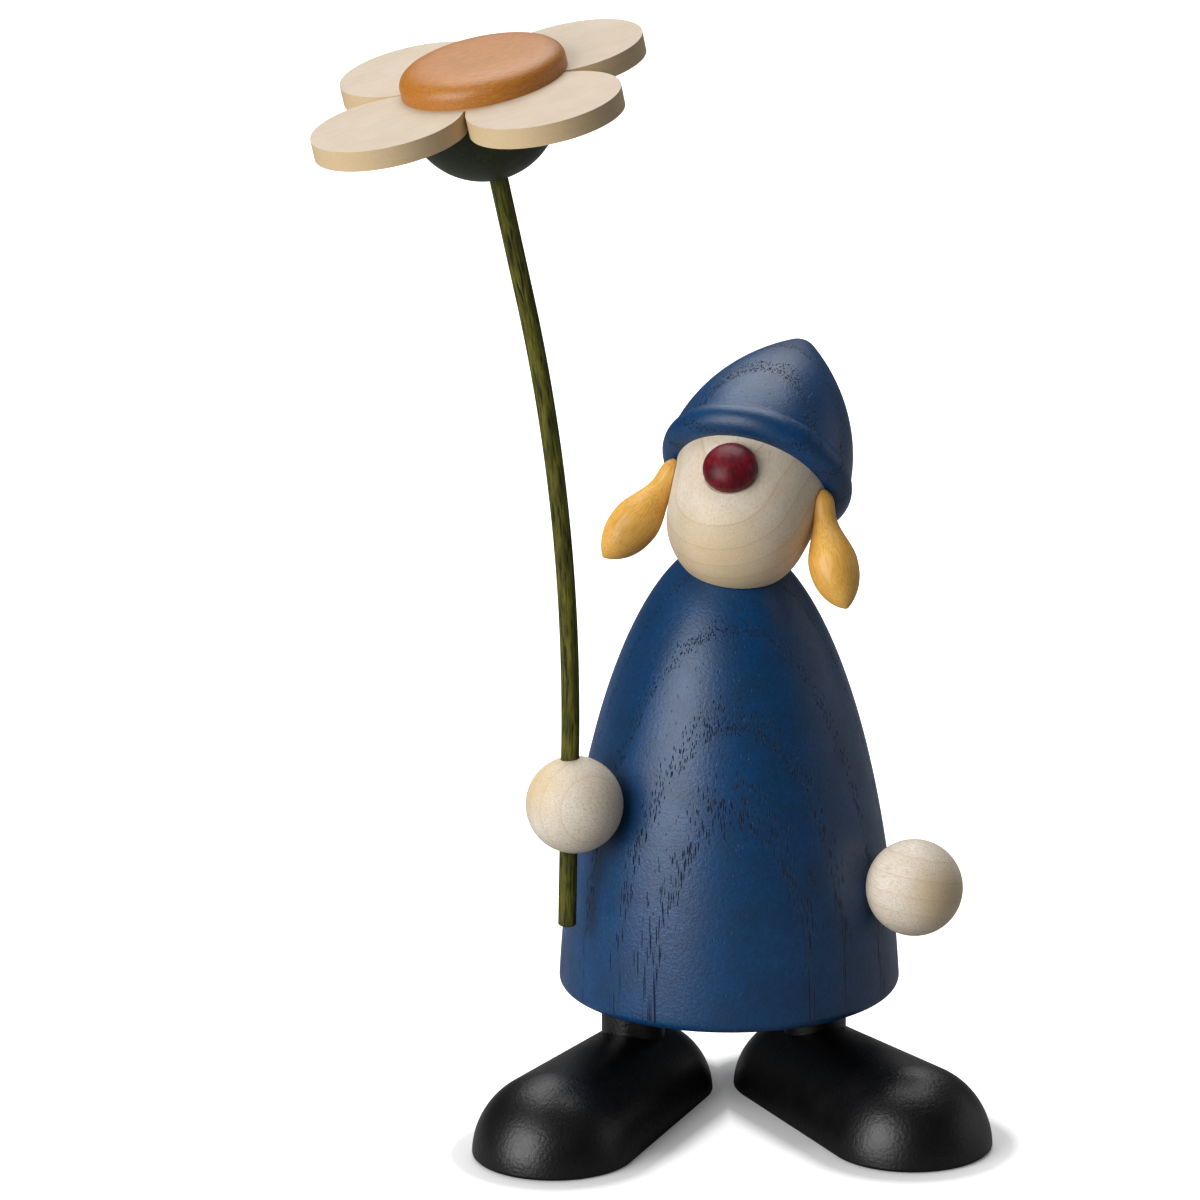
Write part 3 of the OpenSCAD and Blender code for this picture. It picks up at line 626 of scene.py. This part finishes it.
# The rings of a braid's mesh crowd towards its tip
shares = [1 - (1 - i/BRAID_STEPS)**BRAID_CROWDING for i in range(BRAID_STEPS + 1)]
drop = [(0, 0)] + [(braid_radius(u), BRAID_L*u) for u in shares]
for side, sign in (("left", 1), ("right", -1)):
    braid = spin_outline(f"braid_{side}_bent", drop, BRAID_SIDES)
    bpy.ops.object.mode_set(mode="OBJECT")
    bend(braid, radians(BRAID_CURL), 0, 1)
    hang = (face_place @ Matrix.Diagonal((sign, 1, 1, 1))
            @ Matrix.Rotation(radians(BRAID_ANGLE - 90), 4, "Z")
            @ Matrix.Translation(Vector((BRAID_OUT, 0, HEAD_TOP - BRAID_DROP))*MM)
            @ Matrix.Rotation(radians(BRAID_SWING), 4, "X")
            @ Matrix.Rotation(radians(BRAID_CURL/2 - BRAID_SPLAY), 4, "Y")
            @ Matrix.Rotation(pi, 4, "X") @ Matrix.Diagonal((1, sign, 1, 1)))
    settle(braid, hang)
    cheek_cut = spin_outline("cheek_cut", head_outline(BRAID_GLUE), HEAD_SIDES)
    settle(cheek_cut, head_place)
    cut_away(braid, cheek_cut)
    keep_grain(braid, lambda p: unbend(hang.inverted() @ p/MM, BRAID_L/radians(BRAID_CURL)))
    stand_for(braid, f"braid_{side}", "head", honey)


# Stem: a length of 2.8 mm peeled cane, bent in its upper half and dyed green. It turns in the right
# hand's bore, and its upper end is glued in the flower.

STEM_LOW, STEM_STRAIGHT, STEM_TOP, STEM_END = 19.3, 8.3, 19.5, 2.6
STEM_EASE, STEM_STEPS, STEM_SIDES = 0.2, 150, 40
BEND_R, BEND_ANGLE, BEND_DIR = 264.0, 15.7, -146.5
CALYX_R, PETAL_T = 11.4, 3.0
CANE_FIBRE, CANE_WEAR, CANE_DEPTH, CANE_LUMPS = (0.35, 0.35, 4), (1.3, 1.3, 5), 0.14, 2.5

# Green-dyed cane: the dye soaks into the open fibres, so dark streaks and worn yellowish patches
# run along it, and it is rough and dull.
cane, output = new_material("green_dyed_cane")
straight = add_node(cane, "ShaderNodeAttribute", attribute_name="straight_grain")
along = add_node(cane, "ShaderNodeVectorMath", {
    0: (straight, "Vector"), 1: [1/size for size in CANE_FIBRE]}, operation="MULTIPLY")
fibre = add_node(cane, "ShaderNodeTexNoise", {"Vector": along, "Scale": 1.0, "Detail": 4.0})
worn = add_node(cane, "ShaderNodeVectorMath", {
    0: (straight, "Vector"), 1: [1/size for size in CANE_WEAR]}, operation="MULTIPLY")
wear = add_node(cane, "ShaderNodeTexNoise", {"Vector": worn, "Scale": 1.0, "Detail": 4.0})
patch = add_node(cane, "ShaderNodeMapRange", {"Value": wear, "From Min": 0.4, "From Max": 0.66})
green = add_node(cane, "ShaderNodeMix", {
    "Factor": patch, "A": linear("#45450f"), "B": linear("#6d6a1e")}, data_type="RGBA")
streak = add_node(cane, "ShaderNodeMapRange", {
    "Value": fibre, "From Min": 0.48, "From Max": 0.66})
colour = add_node(cane, "ShaderNodeMix", {
    "Factor": streak, "A": (green, "Result"), "B": linear("#181a05")}, data_type="RGBA")
lumps = add_node(cane, "ShaderNodeMath", {
    0: wear, 1: CANE_LUMPS, 2: fibre}, operation="MULTIPLY_ADD")
relief = add_node(cane, "ShaderNodeBump", {
    "Height": lumps, "Strength": 1.0, "Distance": -CANE_DEPTH*MM})
close_surface(cane, output, {
    "Base Color": (colour, "Result"), "Roughness": 0.6, "Specular IOR Level": 0.25,
    "Normal": relief, "IOR": 1.5})

bow = BEND_R*radians(BEND_ANGLE)
foot, head_end = -STEM_LOW - STEM_STRAIGHT, bow + STEM_TOP + CALYX_R + PETAL_T + STEM_END
rod = [(0, foot), (STEM_D/2 - STEM_EASE, foot)]
rod += [(STEM_D/2, foot + STEM_EASE + (head_end - foot - STEM_EASE)*i/STEM_STEPS)
        for i in range(STEM_STEPS + 1)]
stem = spin_outline("stem_cane", rod + [(0, head_end)], STEM_SIDES)
bpy.ops.object.mode_set(mode="OBJECT")
keep_grain(stem, lambda p: p/MM)
bend(stem, radians(BEND_ANGLE), -foot/(head_end - foot), (bow - foot)/(head_end - foot))
bow_place = (stem_place @ Matrix.Rotation(radians(BEND_DIR), 4, "Z")
             @ Matrix.Translation((0, 0, STEM_STRAIGHT*MM)))
settle(stem, bow_place)
stand_for(stem, "flower_stem", "flower", cane)

bow_end = Vector((BEND_R*(1 - cos(radians(BEND_ANGLE))), 0, BEND_R*sin(radians(BEND_ANGLE))))*MM
flower_place = (bow_place @ Matrix.Translation(bow_end)
                @ Matrix.Rotation(radians(BEND_ANGLE), 4, "Y")
                @ Matrix.Translation((0, 0, STEM_TOP*MM)))


# Calyx: a turned half ball of wood with its rim eased, stained a very dark green. It is glued on
# the cane under the petals.

CALYX_EASE, CALYX_STEPS, CALYX_SIDES = 0.3, 48, 112
CALYX_MID_EASE = 0.09  # how far the middle of the eased rim stands in from the sharp corner
CALYX_FIBRE, CALYX_GRAIN_DEPTH = (0.4, 0.4, 4), 0.025
CALYX_FIBRE_TURN = (0.1, 0.25, 0.0)  # radians

# Dark green stain on wood: nearly black, with fine fibres that show only in the sheen.
dark_green, output = new_material("dark_green_stain")
place = add_node(dark_green, "ShaderNodeTexCoord")
grain = add_node(dark_green, "ShaderNodeMapping", {
    "Vector": (place, "Object"), "Rotation": CALYX_FIBRE_TURN,
    "Scale": [1/(size*MM) for size in CALYX_FIBRE]})
fibre = add_node(dark_green, "ShaderNodeTexNoise", {"Vector": grain, "Scale": 1.0, "Detail": 3.0})
tone = add_node(dark_green, "ShaderNodeMapRange", {
    "Value": fibre, "From Min": 0.35, "From Max": 0.7})
colour = add_node(dark_green, "ShaderNodeMix", {
    "Factor": tone, "A": linear("#1f2611"), "B": linear("#2d341a")}, data_type="RGBA")
relief = add_node(dark_green, "ShaderNodeBump", {
    "Height": fibre, "Strength": 1.0, "Distance": CALYX_GRAIN_DEPTH*MM})
close_surface(dark_green, output, {
    "Base Color": (colour, "Result"), "Roughness": 0.45, "Specular IOR Level": 0.3,
    "Normal": relief, "IOR": 1.5})
cup = [(CALYX_R*cos(a), CALYX_R + CALYX_R*sin(a))
       for a in spread(-pi/2, -CALYX_EASE/CALYX_R, CALYX_STEPS)]
cup += [(CALYX_R - CALYX_MID_EASE, CALYX_R - CALYX_MID_EASE), (CALYX_R - CALYX_EASE, CALYX_R),
        (0, CALYX_R)]
calyx = spin_outline("calyx_cup", cup, CALYX_SIDES)
settle(calyx, flower_place)
stand_for(calyx, "calyx", "flower", dark_green)


# Petals: one plate of maple, sawn to four round lobes, its edges eased with paper and glued on the
# calyx. The grain runs straight across all four.

PETAL_N, PETAL_R, PETAL_OUT, PETAL_SPIN, PETAL_EASE = 4, 11.4, 16.4, 88.6, 0.3
PETAL_SIDES, PETAL_WELD, PETAL_MERGE = 128, 0.01, radians(0.5)
PETAL_GRAIN, PETAL_BARK = (0.93, 0.25, 0.23), (0.3, 0.2, 1)
PETAL_CREAM, PETAL_RING, PETAL_FLECK, PETAL_FLECK_DEPTH = ("#cabba8", "#c4b49e"), 0.18, 2.5, 0.4
PETAL_SAWN = (0.9, 0.2)


def add_disc(name, radius, x, y):
    """A round blank of the plate's thickness on the calyx."""
    bpy.ops.mesh.primitive_cylinder_add(
        vertices=PETAL_SIDES, radius=radius*MM, depth=PETAL_T*MM,
        location=Vector((x, y, CALYX_R + PETAL_T/2))*MM)
    disc = bpy.context.object
    disc.name = disc.data.name = name
    return disc


plate = add_disc("petal_plate_sawn", CALYX_R, 0, 0)
for i in range(PETAL_N):
    a = radians(PETAL_SPIN + 360*i/PETAL_N)
    combine(plate, add_disc("lobe", PETAL_R, PETAL_OUT*cos(a), PETAL_OUT*sin(a)), "UNION")
bpy.ops.object.transform_apply(location=True, rotation=True, scale=True)
bpy.ops.object.mode_set(mode="EDIT")
bpy.ops.mesh.select_all(action="SELECT")
bpy.ops.mesh.remove_doubles(threshold=PETAL_WELD*MM)
bpy.ops.mesh.dissolve_limited(angle_limit=PETAL_MERGE)
ease_edges(plate, lambda z: abs(z) > FLAT, PETAL_EASE)
settle(plate, flower_place)
petal_maple = pale_maple(
    "pale_maple_petals", flower_place.translation/MM, flower_place.to_3x3() @ Vector(PETAL_BARK),
    PETAL_GRAIN, PETAL_CREAM, PETAL_RING, PETAL_FLECK, PETAL_FLECK_DEPTH,
    flower_place.col[2].to_3d(), PETAL_SAWN)
stand_for(plate, "petal_plate", "flower", petal_maple)


# Flower's centre: a turned wooden disc with a rounded upper edge, stained amber and waxed. It is
# glued on the petals and the cane's end, a little off the middle.

CENTRE_R, CENTRE_T, CENTRE_WALL = 12.4, 4.0, 1.3
CENTRE_FULL, SHOULDER_CROWDING = 6, 0.3  # powers: the shoulder's form and its mesh's spacing
CENTRE_OFF, CENTRE_DIR = 1.7, 198.0
SHOULDER_STEPS, CENTRE_SIDES = 40, 128
AMBER_FIBRE, AMBER_GRIT, AMBER_GRAIN_DEPTH = (0.18, 0.18, 1.6), 0.35, 0.035

# Amber stain on wood: warm orange brown with fine fibres, and a broad pale sheen on the flat top.
amber, output = new_material("amber_stain")
place = add_node(amber, "ShaderNodeTexCoord")
grain = add_node(amber, "ShaderNodeMapping", {
    "Vector": (place, "Object"),
    "Rotation": Vector(PETAL_GRAIN).to_track_quat("Z", "Y").to_euler(),
    "Scale": [size*MM for size in AMBER_FIBRE]}, vector_type="TEXTURE")
fibre = add_node(amber, "ShaderNodeTexNoise", {"Vector": grain, "Scale": 1.0, "Detail": 3.0})
tone = add_node(amber, "ShaderNodeMapRange", {"Value": fibre, "From Min": 0.3, "From Max": 0.75})
colour = add_node(amber, "ShaderNodeMix", {
    "Factor": tone, "A": linear("#bd7a26"), "B": linear("#965a18")}, data_type="RGBA")
grit = add_node(amber, "ShaderNodeTexNoise", {
    "Vector": (place, "Object"), "Scale": 1/(AMBER_GRIT*MM), "Detail": 2.0})
both = add_node(amber, "ShaderNodeMath", {0: fibre, 1: grit}, operation="ADD")
relief = add_node(amber, "ShaderNodeBump", {
    "Height": both, "Strength": 1.0, "Distance": AMBER_GRAIN_DEPTH*MM})
close_surface(amber, output, {
    "Base Color": (colour, "Result"), "Roughness": 0.42, "Specular IOR Level": 0.6,
    "Normal": relief, "IOR": 1.5})
inward = [cos(pi/2*i/SHOULDER_STEPS)**SHOULDER_CROWDING for i in range(SHOULDER_STEPS)]
shoulder = [(CENTRE_R*u, CENTRE_WALL + (CENTRE_T - CENTRE_WALL)*sqrt(1 - u**CENTRE_FULL))
            for u in inward]
centre = spin_outline(
    "flower_centre_disc", [(0, 0), (CENTRE_R, 0)] + shoulder + [(0, CENTRE_T)], CENTRE_SIDES)
off = radians(CENTRE_DIR)
settle(centre, flower_place @ Matrix.Translation(
    Vector((CENTRE_OFF*cos(off), CENTRE_OFF*sin(off), CALYX_R + PETAL_T))*MM))
stand_for(centre, "flower_centre", "flower", amber)


# Stage: a white floor that shows the camera plain white further off and, close to the shoes, a
# painted shadow over the soft shadow that the lamps cast. Soft boxes: the key at the front left,
# one overhead, and weak ones at the right and behind.

STAGE_MID = Vector((0, 0, 80))*MM
FLOOR_SIZE = 8  # metres
# Painted shadow about the shoes: the glow stays lowest within the core distance, in mm, of a shoe's
# middle line and rises to full glow at the edge distance.
PAINTED_SHADE_CORE, PAINTED_SHADE_EDGE = 12.0, 32.0
PAINTED_SHADE_LEVEL, PAINTED_SHADE_FADE = 0.12, ((0.18, 0.2), (0.33, 0.72), (0.5, 0.97))
SKY_LIGHT, SKY_SEEN = 0.07, 1.0

# White paper: the camera sees it glow up to plain white away from the shoes. Near them the glow is
# turned down, a painted shadow. The pieces get only the light that a dimmer sheet would throw back.
floor_white, output = new_material("white_floor")
place = add_node(floor_white, "ShaderNodeTexCoord")
from_shoe = []
for side, heel in HEEL_AT.items():
    sole = add_node(floor_white, "ShaderNodeMapping", {
        "Vector": (place, "Object"), "Location": heel,
        "Rotation": (0, 0, radians(TOE_OUT[side])), "Scale": (MM, MM, MM)}, vector_type="TEXTURE")
    split = add_node(floor_white, "ShaderNodeSeparateXYZ", {"Vector": sole})
    beside = add_node(floor_white, "ShaderNodeClamp", {
        "Value": (split, "Y"), "Min": -SHOE_L, "Max": 0.0})
    past = add_node(floor_white, "ShaderNodeMath", {
        0: (split, "Y"), 1: beside}, operation="SUBTRACT")
    offset = add_node(floor_white, "ShaderNodeCombineXYZ", {"X": (split, "X"), "Y": past})
    away = add_node(floor_white, "ShaderNodeVectorMath", {0: offset}, operation="LENGTH")
    from_shoe.append((away, "Value"))
# Painted shadow: the glow that the camera sees is turned down by the distance to the nearer shoe.
nearest = add_node(floor_white, "ShaderNodeMath", {
    0: from_shoe[0], 1: from_shoe[1]}, operation="MINIMUM")
share = add_node(floor_white, "ShaderNodeMapRange", {
    "Value": nearest, "From Min": PAINTED_SHADE_CORE, "From Max": PAINTED_SHADE_EDGE})
glow_and_painted_shade = add_node(floor_white, "ShaderNodeValToRGB", {"Fac": share})
stops = glow_and_painted_shade.color_ramp.elements
stops[0].color = (PAINTED_SHADE_LEVEL, PAINTED_SHADE_LEVEL, PAINTED_SHADE_LEVEL, 1)
for at, level in PAINTED_SHADE_FADE:
    stops.new(at).color = (level, level, level, 1)
ray = add_node(floor_white, "ShaderNodeLightPath")
seen = add_node(floor_white, "ShaderNodeMath", {
    0: glow_and_painted_shade, 1: (ray, "Is Camera Ray")}, operation="MULTIPLY")
dim = add_node(floor_white, "ShaderNodeBsdfDiffuse", {"Color": linear("#969696")})
matt = add_node(floor_white, "ShaderNodeBsdfDiffuse", {"Color": linear("#dcdcdc")})
paper = add_node(floor_white, "ShaderNodeMixShader", {0: (ray, "Is Camera Ray"), 1: dim, 2: matt})
white = add_node(floor_white, "ShaderNodeEmission", {"Color": (1, 1, 1, 1), "Strength": seen})
both = add_node(floor_white, "ShaderNodeAddShader", {0: paper, 1: white})
floor_white.node_tree.links.new(both.outputs[0], output.inputs["Surface"])
bpy.ops.mesh.primitive_plane_add(size=FLOOR_SIZE)
floor = bpy.context.object
floor.name = "floor"
paint(floor, floor_white)

# Each soft box: its bearing from the front and its height in degrees, its distance, width and
# height in metres, and its power in watts.
SOFT_BOXES = {
    "key": (-53, 16, 1.0, 0.75, 0.9, 11.8), "overhead": (184, 68, 1.1, 0.95, 0.95, 11.0),
    "right": (97, 10, 1.1, 1.2, 0.7, 1.15), "back": (172, 33, 1.2, 0.9, 0.35, 1.2)}
for name, (bearing, rise, away, width, height, power) in SOFT_BOXES.items():
    lamp = bpy.data.lights.new(name, "AREA")
    lamp.shape, lamp.size, lamp.size_y, lamp.energy = "RECTANGLE", width, height, power
    light = bpy.data.objects.new(name, lamp)
    bpy.context.scene.collection.objects.link(light)
    round_by, up_by = radians(bearing), radians(rise)
    aim = Vector((sin(round_by)*cos(up_by), -cos(round_by)*cos(up_by), sin(up_by)))
    light.location = STAGE_MID + away*aim
    light.rotation_euler = (-aim).to_track_quat("-Z", "Y").to_euler()

# The sky is white to the camera and gives the pieces only a weak even light.
world = bpy.data.worlds.new("studio")
bpy.context.scene.world = world
world.use_nodes = True
sky = world.node_tree.nodes["Background"]
sky.inputs["Color"].default_value = (1, 1, 1, 1)
ray = add_node(world, "ShaderNodeLightPath")
seen = add_node(world, "ShaderNodeMapRange", {
    "Value": (ray, "Is Camera Ray"), "To Min": SKY_LIGHT, "To Max": SKY_SEEN})
world.node_tree.links.new(seen.outputs[0], sky.inputs["Strength"])

# Camera: 5.3 degrees to the figure's right and 14.5 degrees above, far off with a long lens. Its
# place and aim are in metres.
LENS, SENSOR, CAMERA_ROLL = 154.824, 36.0, -0.3715
CAMERA_AT, CAMERA_AIM = Vector((-0.071543, -0.771207, 0.277904)), Vector((-0.020015, 0, 0.081183))
lens = bpy.data.cameras.new("camera")
lens.lens, lens.sensor_width = LENS, SENSOR
camera = bpy.data.objects.new("camera", lens)
bpy.context.scene.collection.objects.link(camera)
camera.location = CAMERA_AT
level = (CAMERA_AIM - CAMERA_AT).to_track_quat("-Z", "Y")
camera.rotation_euler = (level @ Quaternion((0, 0, 1), radians(CAMERA_ROLL))).to_euler()
bpy.context.scene.camera = camera
bpy.context.scene.view_settings.view_transform = "Standard"
